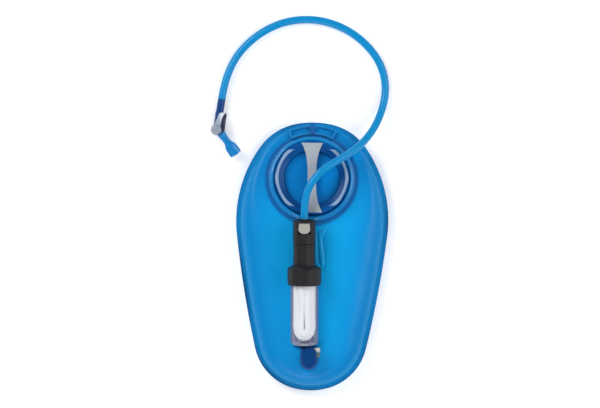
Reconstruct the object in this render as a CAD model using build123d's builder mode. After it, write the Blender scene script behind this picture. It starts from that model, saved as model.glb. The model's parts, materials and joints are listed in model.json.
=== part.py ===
from build123d import *
from math import cos, degrees, pi, radians, sin, tan
import os

os.makedirs("parts", exist_ok=True)

# Hydration bladder lying on its back, in millimetres. +Z is up, +Y runs from the drinking outlet
# towards the fill port, and the origin is under the middle of the bag, on the surface it lies on.

# ---------------------------------------------------------------- driving dimensions
film = 0.8                 # wall of the bag
seam_z = 14.0              # height of the welded seam round the bag
seam_width = 4.5
outline_arcs = [(105.2, 11.6), (68.5, 43.0), (152.5, 42.2), (1253.6, 6.3), (64.3, 62.0)]  # radius, turn
bag_twist = -0.8           # the bag lies turned a little, about the vertical
bag_centre = (0.3, -0.6)
front_rise = [(4.5, 0), (7, 7), (14, 13.5), (24, 18.5), (36, 20)]       # inset from the outline, rise
back_drop = [(4.5, 0), (6, 5), (12, 10.5), (22, 13.2), (34, 14)]        # inset from the outline, drop
film_inset = 0.5           # how much further in the inside of the film starts

port_x = 0.3               # centre of the fill port
port_y = 92.0
port_z = 27.0
port_tilt = 7.1            # the port leans towards the top of the bag
flange_r = 56.0
shoulder_r = 52.0
neck_r = 39.4              # outside of the threaded neck
neck_bore_r = 36.0
neck_top = 10.9
cap_r = 44.4
cap_top = 16.0
thread_lead = 12.0         # rise in one turn, so a quarter turn lifts the cap 3 mm
thread_starts = 4
thread_arc = 60            # how far round each rib runs, in degrees
thread_height = 1.1

filter_x = -8.6
filter_y = -107.0          # lower end of the filter's clear bowl
filter_z = 44.0
filter_tilt = 5.0
bowl_r = 16.5
bowl_wall = 1.8
bowl_length = 89.2
ring_r = 20.2
ring_low = 73.0
ring_high = 96.5
neck_tube_r = 13.0
socket_r = 13.5            # connector at the upper end of the filter
socket_low = 122.0
socket_high = 150.5

outlet_x = 5.4             # outlet centre, from the filter's axis
outlet_v = -18.5
outlet_film = -11.0        # outside of the film, from the filter's axis
outlet_half = 9.6

hose_d = 9.2
hose_bore_d = 6.4
hose_floor = hose_d / 2 + 0.1
barb_r = 3.15

valve_x = -113.0
valve_y = 153.6
valve_z = 7.8
pivot_x = -1.4             # the lever's pivot, from the point where the two tubes meet
pivot_y = -1.8
valve_reach = 20.0         # from that point to the end of the hose
barb_length = 15.0
hose_heading = 82.0        # from the valve back along the hose
mouth_heading = -54.5      # from the valve out along the mouthpiece
lever_heading = 58.0

# ---------------------------------------------------------------- planes and axes
outline_x = 0
outline_drop = 0
outline_turn = 0
for arc_radius, arc_turn in outline_arcs:
    before = radians(outline_turn)
    outline_turn = outline_turn + arc_turn
    after = radians(outline_turn)
    outline_x = outline_x + arc_radius * (sin(after) - sin(before))
    outline_drop = outline_drop + arc_radius * (cos(before) - cos(after))
end_radius = outline_x / sin(radians(180 - outline_turn))
outline_drop = outline_drop + end_radius * (1 + cos(radians(outline_turn)))
bag_top = outline_drop / 2

lean = radians(port_tilt)
bag_side = Vector(cos(radians(bag_twist)), sin(radians(bag_twist)), 0)
bag_mirror = Plane(origin=(*bag_centre, 0), z_dir=bag_side)
port_lean = Vector(0, sin(lean), cos(lean)).rotate(Axis.Z, bag_twist)
port_plane = Plane(origin=(port_x, port_y, port_z), x_dir=bag_side, z_dir=port_lean)
port_axis = Axis(port_plane.origin, port_plane.z_dir)
port_section = Plane(origin=port_plane.origin, x_dir=bag_side, z_dir=port_plane.y_dir * -1)

slope = radians(filter_tilt)
filter_up = Vector(0, -sin(slope), cos(slope))
filter_plane = Plane(origin=(filter_x, filter_y, filter_z), x_dir=(1, 0, 0), z_dir=filter_up)
filter_axis = Axis(filter_plane.origin, filter_plane.y_dir)

valve_point = Vector(valve_x, valve_y, valve_z)
hose_way = Vector(cos(radians(hose_heading)), sin(radians(hose_heading)), 0)
mouth_way = Vector(cos(radians(mouth_heading)), sin(radians(mouth_heading)), 0)
lever_way = Vector(cos(radians(lever_heading)), sin(radians(lever_heading)), 0)
hose_tube_plane = Plane(origin=valve_point, x_dir=(0, 0, 1), z_dir=hose_way)
mouth_plane = Plane(origin=valve_point, x_dir=(0, 0, 1), z_dir=mouth_way)
valve_floor = Plane(origin=(valve_x + pivot_x, valve_y + pivot_y, 0), x_dir=lever_way, z_dir=(0, 0, 1))
valve_side = Plane(origin=valve_floor.origin, x_dir=(1, 0, 0), z_dir=(0, -1, 0))


# ---------------------------------------------------------------- shared shapes
def bag_outline(inset):
    """The bag's outline moved inwards: tangent arcs down the right side, mirrored to the left."""
    place = Vector(*bag_centre) + Vector(0, bag_top - inset).rotate(Axis.Z, bag_twist)
    heading = bag_side
    arcs = outline_arcs + [(end_radius, 180 - outline_turn)]
    for radius, turn in arcs:
        arc = JernArc(start=place, tangent=heading, radius=radius - inset, arc_size=-turn)
        place = arc @ 1
        heading = arc % 1
    mirror(about=bag_mirror)


def section(plane, *points):
    """Closed face through points given in the plane's own axes."""
    with BuildSketch(plane) as shape:
        with BuildLine():
            Polyline(*points, close=True)
        make_face()
    return shape.sketch


def ring_sector(inner, outer, start, sweep):
    """Part of a flat ring about the sketch's origin, as a closed line."""
    outside = CenterArc((0, 0), outer, start, sweep)
    inside = CenterArc((0, 0), inner, start, sweep)
    Line(outside @ 0, inside @ 0)
    Line(outside @ 1, inside @ 1)


def block(plane, low, high, mode=Mode.ADD):
    """Box between two corners given in the plane's own axes."""
    with BuildSketch(plane.offset(low[2])) as base:
        with Locations(((low[0] + high[0]) / 2, (low[1] + high[1]) / 2)):
            Rectangle(high[0] - low[0], high[1] - low[1])
    extrude(base.sketch, amount=high[2] - low[2], mode=mode)


def post(plane, centre, radius, low, high, mode=Mode.ADD):
    """Round post or hole along the plane's normal."""
    with BuildSketch(plane.offset(low)) as base:
        with Locations(centre):
            Circle(radius)
    extrude(base.sketch, amount=high - low, mode=mode)


def coil(start, direction, radius, wire, height, turns):
    """Compression spring: a round wire swept along a helix."""
    with BuildLine() as path:
        Helix(pitch=height / turns, height=height, radius=radius, center=start, direction=direction)
    with BuildSketch(Plane(origin=path.line @ 0, z_dir=path.line % 0)) as wire_face:
        Circle(wire)
    sweep(wire_face.sketch, path=path.line, is_frenet=True)


def thread_ribs(inner, outer, low):
    """Short helical ribs, one for each start, about the port's axis."""
    with BuildPart() as rib:
        with BuildLine() as path:
            Helix(pitch=thread_lead, height=thread_lead * thread_arc / 360, radius=(inner + outer) / 2)
        with BuildSketch(Plane.XZ) as rib_face:
            with Locations(((inner + outer) / 2, 0)):
                Rectangle(outer - inner, thread_height)
        sweep(rib_face.sketch, path=path.line, is_frenet=True)
    for start in range(thread_starts):
        turned = Location((0, 0, low), (0, 0, start * 360 / thread_starts))
        add(rib.part.moved(port_plane.location * turned))


# ---------------------------------------------------------------- bag
# Space that the filter presses into the front of the bag, and the same space grown by the film.
dent_r = ring_r + 0.8
dent_low = ring_low - 0.9
dent_high = ring_high + 1
filter_dent = [
    (0, -0.5), (bowl_r + 0.6, -0.5), (bowl_r + 0.6, dent_low), (dent_r, dent_low), (dent_r, dent_high),
    (0, dent_high),
]
with BuildPart() as dent:
    revolve(section(filter_plane, *filter_dent), axis=filter_axis)

with BuildPart() as deep_dent:
    grown = [(r + film if r else 0, v + (film if v > 80 else -film)) for r, v in filter_dent]
    revolve(section(filter_plane, *grown), axis=filter_axis)

with BuildPart() as front_inside:
    for inset, rise in front_rise:
        with BuildSketch(Plane.XY.offset(seam_z + max(rise - film, 0))):
            with BuildLine():
                bag_outline(inset + film_inset)
            make_face()
    loft(ruled=True)
    split(bisect_by=port_plane.offset(-film), keep=Keep.BOTTOM)
    split(bisect_by=filter_plane.offset(outlet_film - film), keep=Keep.BOTTOM)
    add(deep_dent.part, mode=Mode.SUBTRACT)

with BuildPart() as front_panel:
    for inset, rise in front_rise:
        with BuildSketch(Plane.XY.offset(seam_z + rise)):
            with BuildLine():
                bag_outline(inset)
            make_face()
    loft(ruled=True)
    split(bisect_by=port_plane, keep=Keep.BOTTOM)
    split(bisect_by=filter_plane.offset(outlet_film), keep=Keep.BOTTOM)
    add(dent.part, mode=Mode.SUBTRACT)
    with BuildSketch(Plane.XY.offset(seam_z)) as weld:
        with BuildLine():
            bag_outline(0)
        make_face()
        with BuildLine():
            bag_outline(seam_width + film_inset)
        make_face(mode=Mode.SUBTRACT)
    extrude(weld.sketch, amount=film)
    add(front_inside.part, mode=Mode.SUBTRACT)
    post(port_plane, (0, 0), neck_r + 0.1, -6, 4, Mode.SUBTRACT)
    post(filter_plane, (outlet_x, outlet_v), 6.5, outlet_film - 4, outlet_film + 2, Mode.SUBTRACT)

with BuildPart() as back_inside:
    for inset, drop in back_drop:
        with BuildSketch(Plane.XY.offset(seam_z - max(drop - film, 0))):
            with BuildLine():
                bag_outline(inset + film_inset)
            make_face()
    loft(ruled=True)

with BuildPart() as back_panel:
    for inset, drop in back_drop:
        with BuildSketch(Plane.XY.offset(seam_z - drop)):
            with BuildLine():
                bag_outline(inset)
            make_face()
    loft(ruled=True)
    with BuildSketch(Plane.XY.offset(seam_z)) as back_weld:
        with BuildLine():
            bag_outline(0)
        make_face()
        with BuildLine():
            bag_outline(seam_width + film_inset)
        make_face(mode=Mode.SUBTRACT)
    extrude(back_weld.sketch, amount=-film)
    add(back_inside.part, mode=Mode.SUBTRACT)

# ---------------------------------------------------------------- fill port
with BuildPart() as fill_collar:
    flange = section(port_section, (neck_bore_r, 0), (flange_r, 0), (flange_r, 1.6), (neck_bore_r, 1.6))
    revolve(flange, axis=port_axis)
    neck = section(port_section, (neck_bore_r, -2), (neck_r, -2), (neck_r, neck_top), (neck_bore_r, neck_top))
    revolve(neck, axis=port_axis)
    with BuildSketch(port_section) as shoulder:
        with BuildLine():
            Line((45.2, 1.6), (45.2, 7.0))
            Spline((45.2, 7.0), (47.2, 8.5), (50.4, 6.6), (shoulder_r, 1.6))
            Line((shoulder_r, 1.6), (45.2, 1.6))
        make_face()
        with BuildLine():
            Polyline((46.6, 0), (46.6, 6.0), (48.0, 6.6), (49.6, 5.2), (50.4, 0), close=True)
        make_face(mode=Mode.SUBTRACT)
    revolve(shoulder.sketch, axis=port_axis)
    trough = section(port_section, (46.6, -1), (50.4, -1), (50.4, 2), (46.6, 2))
    revolve(trough, axis=port_axis, mode=Mode.SUBTRACT)
    thread_ribs(neck_r - 0.4, 40.9, 6.0)

handle_low = 1.6
handle_high = 4.4
handle_outer = 65.4
window_outer = 63.4
window_inner = 56.5
handle_half = 27
post_half = 2.7
with BuildPart() as port_handle:
    with BuildSketch(port_plane.offset(handle_low)) as arch:
        with BuildLine():
            ring_sector(54.0, handle_outer, 90 - handle_half, 2 * handle_half)
        make_face()
        window_start = degrees(post_half / window_inner)
        window_sweep = handle_half - 2.2 - window_start
        with BuildLine():
            ring_sector(window_inner, window_outer, 90 + window_start, window_sweep)
        make_face(mode=Mode.SUBTRACT)
        with BuildLine():
            ring_sector(window_inner, window_outer, 90 - window_start - window_sweep, window_sweep)
        make_face(mode=Mode.SUBTRACT)
    extrude(arch.sketch, amount=handle_high - handle_low)

# The grip bar is widest at its two ends and narrow in the middle.
bar_half = 42.0
bar_flare = [(0, 5.15), (16, 5.6), (24, 6.6), (33, 8.9), (bar_half, 12.9)]   # along the bar, half width
with BuildSketch() as bar_shape:
    with BuildLine():
        side = Spline(*[(half, along) for along, half in bar_flare], tangents=[(0, 1), (1, 1.9)])
        Line(side @ 1, (0, bar_half))
        Line((0, bar_half), (0, 0))
        Line((0, 0), side @ 0)
    make_face()
    mirror(about=Plane.YZ)
    mirror(about=Plane.XZ)

with BuildPart() as cap_shell:
    lid = section(
        port_section,
        (0, 5), (35.5, 5), (35.5, 12.6), (41.2, 12.6), (41.2, 3), (cap_r, 3), (cap_r, 15.6),
        (cap_r - 0.4, cap_top), (39.6, cap_top), (33.8, 13.6), (33.2, 7), (0, 7),
    )
    revolve(lid, axis=port_axis)
    with BuildSketch(port_plane.offset(6)) as web:
        add(bar_shape.sketch)
        Circle(34.4, mode=Mode.INTERSECT)
    extrude(web.sketch, amount=6.8)
    with BuildSketch(port_plane.offset(12.7)) as deck:
        add(bar_shape.sketch)
    extrude(deck.sketch, amount=1.9)
    with BuildSketch(port_plane.offset(14.6)) as pocket:
        add(bar_shape.sketch)
    extrude(pocket.sketch, amount=3, mode=Mode.SUBTRACT)
    thread_ribs(39.8, 41.5, 6.0 - thread_lead / thread_starts / 2)

with BuildPart() as cap_grip_bar:
    with BuildSketch(port_plane.offset(14.6)):
        add(bar_shape.sketch)
    extrude(amount=1.7)

pad_half = 56
scallop_r = 9.0
scallop_angle = 27
with BuildPart() as cap_grip_pads:
    with BuildSketch(port_plane.offset(cap_top)) as pads:
        for side_start in (-pad_half, 180 - pad_half):
            with BuildLine():
                ring_sector(39.8, cap_r - 0.5, side_start, 2 * pad_half)
            make_face()
        for side_middle in (0, 180):
            scallops = PolarLocations(
                cap_r - 2.2 + scallop_r, 2, start_angle=side_middle - scallop_angle,
                angular_range=2 * scallop_angle, endpoint=True,
            )
            with scallops:
                Circle(scallop_r, mode=Mode.SUBTRACT)
    extrude(pads.sketch, amount=0.9)

with BuildPart() as cap_seal:
    gasket = section(port_section, (36.2, 11), (39.2, 11), (39.2, 12.5), (36.2, 12.5))
    revolve(gasket, axis=port_axis)

# ---------------------------------------------------------------- drinking outlet
with BuildPart() as outlet_base:
    post(filter_plane, (outlet_x, outlet_v), 12.4, outlet_film, outlet_film + 1.4)
    post(filter_plane, (outlet_x, outlet_v), 6.4, outlet_film - 3, outlet_film)
    post(filter_plane, (outlet_x, outlet_v), 4.5, outlet_film - 3, outlet_film + 1.4, Mode.SUBTRACT)

outlet_mouth = -1.0
outlet_bottom = outlet_film + 1.4
latch_low = -4.3
latch_high = -2.7
nib = 0.3
with BuildPart() as outlet_housing:
    with BuildSketch(filter_plane.offset(outlet_bottom)) as footprint:
        with Locations((outlet_x, (outlet_v + outlet_mouth) / 2)):
            Rectangle(2 * outlet_half, outlet_mouth - outlet_v)
        with Locations((outlet_x, outlet_v)):
            Circle(outlet_half)
    extrude(footprint.sketch, amount=6.5 - outlet_bottom)
    chamfer(outlet_housing.faces().sort_by(Axis(filter_plane.origin, filter_plane.z_dir))[-1].edges(), 2.0)
    bore = section(filter_plane, (0, -22.5), (3.5, -22.5), (3.5, 0), (0, 0))
    revolve(bore, axis=filter_axis, mode=Mode.SUBTRACT)
    post(filter_plane, (outlet_x, outlet_v), 4.5, outlet_bottom - 1, 1.0, Mode.SUBTRACT)
    block(filter_plane, (7.3, -13.8, -4.9), (20, -1.9, 4.9), Mode.SUBTRACT)
    with BuildSketch(filter_plane.offset(4)) as corner:
        with BuildLine():
            Polyline((10.2, 0), (16, 0), (16, -9.5), close=True)
        make_face()
    extrude(corner.sketch, amount=4, mode=Mode.SUBTRACT)
    block(filter_plane, (-4.0, -4.5, -5.3), (10, -2.5, 5.3), Mode.SUBTRACT)
    spring_seat = filter_plane.from_local_coords(Vector(5.2, -9, 0))
    spring_hole = Plane(origin=spring_seat, x_dir=filter_plane.z_dir, z_dir=(1, 0, 0))
    post(spring_hole, (0, 0), 2.2, 0, 3, Mode.SUBTRACT)

with BuildPart() as outlet_button:
    block(filter_plane, (9.5, -13.4, -4.5), (18.8, -2.3, 4.5))
    fillet(outlet_button.faces().sort_by(Axis.X)[-1].edges(), 1.6)

with BuildPart() as outlet_latch:
    block(filter_plane, (7.7, latch_low, -5.0), (9.5, latch_high, 5.0))
    for way in (-1, 1):
        leg = sorted((way * 3.7, way * 5))
        tooth = sorted((way * 3.0, way * 4))
        block(filter_plane, (-1.2, latch_low, leg[0]), (7.7, latch_high, leg[1]))
        block(filter_plane, (-nib, latch_low, tooth[0]), (nib, latch_high, tooth[1]))

with BuildPart() as outlet_button_spring:
    coil(filter_plane.from_local_coords(Vector(5.7, -9, 0)), Vector(1, 0, 0), 1.6, 0.3, 3.4, 4)

with BuildPart() as outlet_poppet:
    poppet = section(filter_plane, (0, -17.2), (3.3, -17.2), (3.3, -16), (1.1, -16), (1.1, -13.8), (0, -13.8))
    revolve(poppet, axis=filter_axis)

with BuildPart() as outlet_poppet_spring:
    coil(filter_plane.from_local_coords(Vector(0, -22.1, 0)), filter_plane.y_dir, 2.6, 0.3, 4.5, 4)

# ---------------------------------------------------------------- filter
with BuildPart() as filter_inlet_plug:
    nipple = section(
        filter_plane,
        (1.6, -13.5), (3.3, -13.5), (3.3, -10.4), (2.5, -10.4), (2.5, -8.8), (3.3, -8.8), (3.3, -4.5),
        (2.6, -4.5), (2.6, -2.5), (3.3, -2.5), (3.3, -0.8), (8, -0.8), (8, 0.95), (4.9, 0.95), (4.9, 4.5),
        (1.6, 4.5),
    )
    revolve(nipple, axis=filter_axis)

with BuildPart() as inlet_oring:
    ring_face = section(filter_plane, (2.55, -10.2), (3.45, -10.2), (3.45, -9.0), (2.55, -9.0))
    revolve(ring_face, axis=filter_axis)

with BuildPart() as filter_bowl:
    with BuildSketch(filter_plane) as bowl_face:
        with BuildLine():
            Line((5, 1), (bowl_r - 5, 1))
            JernArc(start=(bowl_r - 5, 1), tangent=(1, 0), radius=5, arc_size=90)
            Polyline((bowl_r, 6), (bowl_r, 88.4), (17.9, 88.4), (17.9, 1 + bowl_length))
            Polyline((17.9, 1 + bowl_length), (bowl_r - bowl_wall, 1 + bowl_length), (bowl_r - bowl_wall, 6))
            JernArc(start=(bowl_r - bowl_wall, 6), tangent=(0, -1), radius=5 - bowl_wall, arc_size=-90)
            Polyline((bowl_r - 5, 1 + bowl_wall), (5, 1 + bowl_wall), (5, 1))
        make_face()
    revolve(bowl_face.sketch, axis=filter_axis)

with BuildPart() as filter_ring:
    nut = section(
        filter_plane,
        (16.8, ring_low), (ring_r - 1.4, ring_low), (ring_r - 0.6, ring_low + 0.8),
        (ring_r - 0.6, ring_low + 3), (ring_r, ring_low + 3.6), (ring_r, ring_high - 4.0),
        (ring_r - 0.6, ring_high - 3.2), (neck_tube_r + 1.8, ring_high), (neck_tube_r + 0.6, ring_high),
        (neck_tube_r + 0.6, 95.2), (18.3, 93.0), (18.3, 88), (16.8, 88),
    )
    revolve(nut, axis=filter_axis)

with BuildPart() as filter_head:
    head_face = section(
        filter_plane,
        (14.0, 80), (14.5, 80), (14.5, 90.5), (15.5, 90.5), (15.5, 92), (17.3, 92), (17.3, 90.5),
        (18.0, 90.5), (18.0, 92.7), (neck_tube_r, 95.0), (neck_tube_r, socket_low), (3, socket_low), (3, 119),
        (10, 119), (10, 93), (14.0, 91),
    )
    revolve(head_face, axis=filter_axis)

with BuildPart() as head_oring:
    with BuildSketch(filter_plane):
        with Locations((16.4, 91.1)):
            Circle(0.83)
    revolve(axis=filter_axis)

with BuildPart() as potting_disc:
    resin = section(filter_plane, (0, 79), (13.9, 79), (13.9, 90.4), (0, 90.4))
    revolve(resin, axis=filter_axis)

fibre_r = 13.3
with BuildPart() as fibre_bundle:
    with BuildSketch(filter_plane) as bundle:
        with BuildLine():
            Line((0, 7), (4, 7))
            ThreePointArc((4, 7), (10.6, 9.7), (fibre_r, 16.2))
            Polyline((fibre_r, 16.2), (fibre_r, 79), (0, 79), (0, 7))
        make_face()
    revolve(bundle.sketch, axis=filter_axis)
    with BuildSketch(filter_plane.offset(-20)) as fold:
        with Locations((0, 24)):
            SlotOverall(14, 2.4, rotation=90)
    extrude(fold.sketch, amount=40, mode=Mode.SUBTRACT)

# ---------------------------------------------------------------- hose connector
button_low = 135.4
button_high = 147.7
catch_low = 140.5
catch_high = 142.0
with BuildPart() as connector_body:
    shell = section(
        filter_plane,
        (2.5, socket_low), (12.4, socket_low), (socket_r, socket_low + 1.2), (socket_r, socket_high - 1.6),
        (socket_r - 1.6, socket_high), (4.05, socket_high), (4.05, 131), (5.2, 131), (5.2, 124), (2.5, 124),
    )
    revolve(shell, axis=filter_axis)
    block(filter_plane, (-7.4, button_low - 0.6, 7.5), (7.4, button_high + 0.6, 16), Mode.SUBTRACT)
    block(filter_plane, (-6.4, catch_low - 0.3, -4.2), (6.4, catch_high + 0.3, 8), Mode.SUBTRACT)
    post(filter_plane, (0, 137.5), 2.3, 5.2, 8, Mode.SUBTRACT)

with BuildPart() as hose_button:
    with BuildSketch(filter_plane.offset(9.7)) as shield:
        with BuildLine():
            Line((-6.4, button_high), (6.4, button_high))
            Line((6.4, button_high), (7.0, 140.6))
            ThreePointArc((7.0, 140.6), (5.1, 136.9), (0, button_low))
            ThreePointArc((0, button_low), (-5.1, 136.9), (-7.0, 140.6))
            Line((-7.0, 140.6), (-6.4, button_high))
        make_face()
    extrude(shield.sketch, amount=4.3)
    fillet(hose_button.faces().sort_by(Axis(filter_plane.origin, filter_plane.z_dir))[-1].edges(), 1.0)

with BuildPart() as connector_latch:
    block(filter_plane, (-5.9, catch_low, 7.7), (5.9, catch_high, 9.7))
    for way in (-1, 1):
        leg = sorted((way * 4.3, way * 5.9))
        tooth = sorted((way * 4.05, way * 5))
        block(filter_plane, (leg[0], catch_low, -1.2), (leg[1], catch_high, 7.7))
        block(filter_plane, (tooth[0], catch_low, -0.4), (tooth[1], catch_high, 0.2))

with BuildPart() as connector_button_spring:
    coil(filter_plane.from_local_coords(Vector(0, 137.5, 5.7)), filter_plane.z_dir, 1.6, 0.3, 3.6, 4)

with BuildPart() as connector_poppet:
    valve_face = section(filter_plane, (0, 127), (4.8, 127), (4.8, 128), (1.2, 128), (1.2, 129.1), (0, 129.1))
    revolve(valve_face, axis=filter_axis)

with BuildPart() as connector_poppet_spring:
    coil(filter_plane.from_local_coords(Vector(0, 124.4, 0)), filter_plane.y_dir, 3.6, 0.3, 2.2, 2)

hose_start_v = 152.2
with BuildPart() as hose_plug:
    plug_face = section(
        filter_plane,
        (1.8, 129.3), (3.9, 129.3), (3.9, 132.6), (3.0, 132.6), (3.0, 134.4), (3.9, 134.4), (3.9, 140.2),
        (3.0, 140.2), (3.0, 142.3), (3.9, 142.3), (3.9, 150.6), (6.5, 150.6), (6.5, hose_start_v),
        (barb_r, hose_start_v), (barb_r, 161.5), (2.6, 162.5), (1.8, 162.5),
    )
    revolve(plug_face, axis=filter_axis)

with BuildPart() as hose_plug_oring:
    plug_ring = section(filter_plane, (3.05, 132.8), (4.0, 132.8), (4.0, 134.2), (3.05, 134.2))
    revolve(plug_ring, axis=filter_axis)

# ---------------------------------------------------------------- hose
hose_start = filter_plane.from_local_coords(Vector(0, hose_start_v, 0))
hose_lead = filter_plane.from_local_coords(Vector(0, hose_start_v + 20, 0))
hose_end = valve_point + hose_way * valve_reach
hose_tail = hose_end + hose_way * 25
route = [
    hose_start,
    hose_lead,
    (-3.2, 84.2, 61.4),
    (11.6, 102.4, 61.4),
    (33.4, 115.6, 55.4),
    (56.2, 130.0, 40.6),
    (74.0, 150.4, 23.4),
    (85.2, 174.8, 10.2),
    (90.0, 201.0, hose_floor),
    (85.4, 227.0, hose_floor),
    (69.2, 252.2, hose_floor),
    (41.8, 273.8, hose_floor),
    (7.0, 285.2, hose_floor),
    (-30.4, 283.0, hose_floor),
    (-61.8, 268.6, hose_floor),
    (-86.0, 246.8, hose_floor),
    (-99.4, 223.4, 6.0),
    hose_tail,
    hose_end,
]
corners = [Vector(point) for point in route]
arc_radii = []
for first, middle, last in zip(corners, corners[1:], corners[2:]):
    run_in = middle - first
    run_out = last - middle
    turn = run_in.get_angle(run_out)
    arc_radii.append(0.45 * min(run_in.length, run_out.length) / tan(radians(turn / 2)))

with BuildPart() as hose:
    with BuildLine() as hose_path:
        FilletPolyline(*corners, radius=arc_radii)
    with BuildSketch(Plane(origin=corners[0], z_dir=corners[1] - corners[0])):
        Circle(hose_d / 2)
        Circle(hose_bore_d / 2, mode=Mode.SUBTRACT)
    sweep(path=hose_path.line)

section_area = pi * (hose_d ** 2 - hose_bore_d ** 2) / 4
print("hose arc radii", [round(radius, 1) for radius in arc_radii])
print("hose length", round(hose_path.wire().length, 1), "volume", round(hose.part.volume),
      "section times length", round(section_area * hose_path.wire().length))

# ---------------------------------------------------------------- shutoff valve and mouthpiece
body_r = 5.2
chamber_r = 6.0
spool_r = 4.55
with BuildPart() as shutoff_body:
    post(hose_tube_plane, (0, 0), body_r, 0, valve_reach)
    post(hose_tube_plane, (0, 0), barb_r, valve_reach, valve_reach + barb_length)
    post(valve_floor, (0, 0), chamber_r, 0.5, 13.4)
    post(mouth_plane, (0, 0), body_r, 0, 7.9)
    post(mouth_plane, (0, 0), 4.0, 7.9, 16)
    post(hose_tube_plane, (0, 0), 2.2, 0, valve_reach + barb_length, Mode.SUBTRACT)
    post(mouth_plane, (0, 0), 2.6, 0, 16, Mode.SUBTRACT)
    post(valve_floor, (0, 0), spool_r + 0.05, 1.7, 13.4, Mode.SUBTRACT)

with BuildPart() as shutoff_spool:
    post(valve_floor, (0, 0), spool_r, 1.9, 13.4)
    block(valve_floor, (-2.4, -2.4, 13.4), (2.4, 2.4, 15.4))
    post(hose_tube_plane, (0, 0), 2.2, 0, 6, Mode.SUBTRACT)
    post(mouth_plane, (0, 0), 2.2, 0, 6, Mode.SUBTRACT)
    for groove_low in (3.0, 11.4):
        groove_high = groove_low + 1.2
        groove = [(3.9, groove_low), (5, groove_low), (5, groove_high), (3.9, groove_high)]
        ring_room = section(valve_side, *groove)
        revolve(ring_room, axis=Axis(valve_floor.origin, (0, 0, 1)), mode=Mode.SUBTRACT)

with BuildPart() as shutoff_orings:
    for groove_low in (3.0, 11.4):
        post(valve_floor, (0, 0), spool_r + 0.02, groove_low + 0.1, groove_low + 1.1)
    post(valve_floor, (0, 0), 3.95, 2, 14, Mode.SUBTRACT)

# The lever is a round hub with a wing that widens and then closes to a blunt tip, along its own X.
lever_left = [(0, 5.9), (4.6, 5.7), (11, 6.2), (16.5, 7.2), (19.3, 7.0), (21.6, 4.4)]
lever_right = [(21.6, 4.4), (23.3, 0.8), (22.3, -1.4), (17, -3.5), (11.6, -5.6), (6.9, -7.8)]
with BuildPart() as shutoff_lever:
    with BuildSketch(valve_floor.offset(13.6)) as lever_shape:
        Circle(6.1)
        with BuildLine():
            Spline(*lever_left)
            Spline(*lever_right)
            Polyline(lever_right[-1], (3.4, -4.7), (0, 0), (0, 5.9))
        make_face()
    extrude(lever_shape.sketch, amount=3.0)
    fillet(shutoff_lever.faces().sort_by(Axis.Z)[-1].outer_wire().edges().filter_by(Plane.XY), 0.4)
    block(valve_floor, (-2.45, -2.45, 13), (2.45, 2.45, 15.5), Mode.SUBTRACT)

with BuildPart() as bite_valve:
    with BuildSketch(mouth_plane.offset(8.2)):
        Circle(5.2)
    extrude(amount=14)
    for reach, half_high, half_wide in ((22.2, 5.2, 5.2), (30.2, 4.8, 7.3), (37.6, 3.6, 7.3)):
        with BuildSketch(mouth_plane.offset(reach)):
            Ellipse(half_high, half_wide)
    loft()
    post(mouth_plane, (0, 0), 4.05, 8, 16.6, Mode.SUBTRACT)
    post(mouth_plane, (0, 0), 3.2, 16.6, 27, Mode.SUBTRACT)
    block(mouth_plane, (-0.3, -5.0, 25), (0.3, 5.0, 39), Mode.SUBTRACT)

# ---------------------------------------------------------------- writing
pieces = {
    "front_panel": front_panel,
    "back_panel": back_panel,
    "fill_collar": fill_collar,
    "port_handle": port_handle,
    "cap_shell": cap_shell,
    "cap_grip_bar": cap_grip_bar,
    "cap_grip_pads": cap_grip_pads,
    "cap_seal": cap_seal,
    "outlet_base": outlet_base,
    "outlet_housing": outlet_housing,
    "outlet_button": outlet_button,
    "outlet_latch": outlet_latch,
    "outlet_button_spring": outlet_button_spring,
    "outlet_poppet": outlet_poppet,
    "outlet_poppet_spring": outlet_poppet_spring,
    "filter_inlet_plug": filter_inlet_plug,
    "inlet_oring": inlet_oring,
    "filter_bowl": filter_bowl,
    "filter_ring": filter_ring,
    "filter_head": filter_head,
    "head_oring": head_oring,
    "potting_disc": potting_disc,
    "fibre_bundle": fibre_bundle,
    "connector_body": connector_body,
    "hose_button": hose_button,
    "connector_latch": connector_latch,
    "connector_button_spring": connector_button_spring,
    "connector_poppet": connector_poppet,
    "connector_poppet_spring": connector_poppet_spring,
    "hose_plug": hose_plug,
    "hose_plug_oring": hose_plug_oring,
    "hose": hose,
    "shutoff_body": shutoff_body,
    "shutoff_spool": shutoff_spool,
    "shutoff_orings": shutoff_orings,
    "shutoff_lever": shutoff_lever,
    "bite_valve": bite_valve,
}
for name, piece in pieces.items():
    piece.part.label = name
    export_step(piece.part, f"parts/{name}.step")
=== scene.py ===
import json
import math
import bmesh
import bpy
import numpy as np
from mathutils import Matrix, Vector


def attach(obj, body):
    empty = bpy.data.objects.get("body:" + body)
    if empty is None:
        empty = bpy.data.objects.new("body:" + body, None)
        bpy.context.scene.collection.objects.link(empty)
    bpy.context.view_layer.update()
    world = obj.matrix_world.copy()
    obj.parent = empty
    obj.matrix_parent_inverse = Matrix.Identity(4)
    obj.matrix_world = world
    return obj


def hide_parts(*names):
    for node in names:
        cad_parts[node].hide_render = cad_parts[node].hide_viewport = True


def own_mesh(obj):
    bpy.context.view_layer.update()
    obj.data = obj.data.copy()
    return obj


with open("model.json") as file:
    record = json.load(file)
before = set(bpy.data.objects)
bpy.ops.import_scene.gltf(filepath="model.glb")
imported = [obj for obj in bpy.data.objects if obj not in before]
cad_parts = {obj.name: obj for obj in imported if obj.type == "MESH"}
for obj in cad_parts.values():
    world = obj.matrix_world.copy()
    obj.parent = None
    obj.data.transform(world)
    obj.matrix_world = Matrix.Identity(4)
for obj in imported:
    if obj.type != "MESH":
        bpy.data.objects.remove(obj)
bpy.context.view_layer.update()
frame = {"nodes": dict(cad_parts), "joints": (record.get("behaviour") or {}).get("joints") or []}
nodes = frame["nodes"]
joints = {joint["name"]: joint for joint in frame["joints"]}
mm = 0.001


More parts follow.
